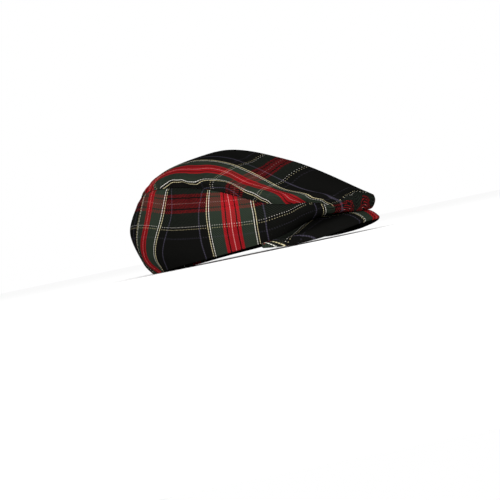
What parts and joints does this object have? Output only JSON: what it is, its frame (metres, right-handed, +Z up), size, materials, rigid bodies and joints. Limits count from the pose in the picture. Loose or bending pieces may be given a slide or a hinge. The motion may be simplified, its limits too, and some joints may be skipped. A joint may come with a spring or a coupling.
{
  "type": "flat cap",
  "caption": "Flat cap in tartan twill: a rounded crown whose front roll is tucked down onto a short arched peak, open below for the head.",
  "frame": {"origin": "centre of the bounding box in plan, on the surface that the cap rests on", "axes": "+Z up, -Y towards the peak, +X towards the wearer's left"},
  "size_m": [0.1902, 0.271, 0.1143],
  "materials": {
    "tartan_top": "black, red and green tartan twill, matt",
    "tartan_side": "black, red and green tartan twill, matt",
    "tartan_peak": "the same twill stretched over a board"
  },
  "bodies": {
    "root": {"crown_top": "tartan_top", "side_right": "tartan_side", "side_left": "tartan_side", "peak": "tartan_peak"}
  },
  "joints": []
}
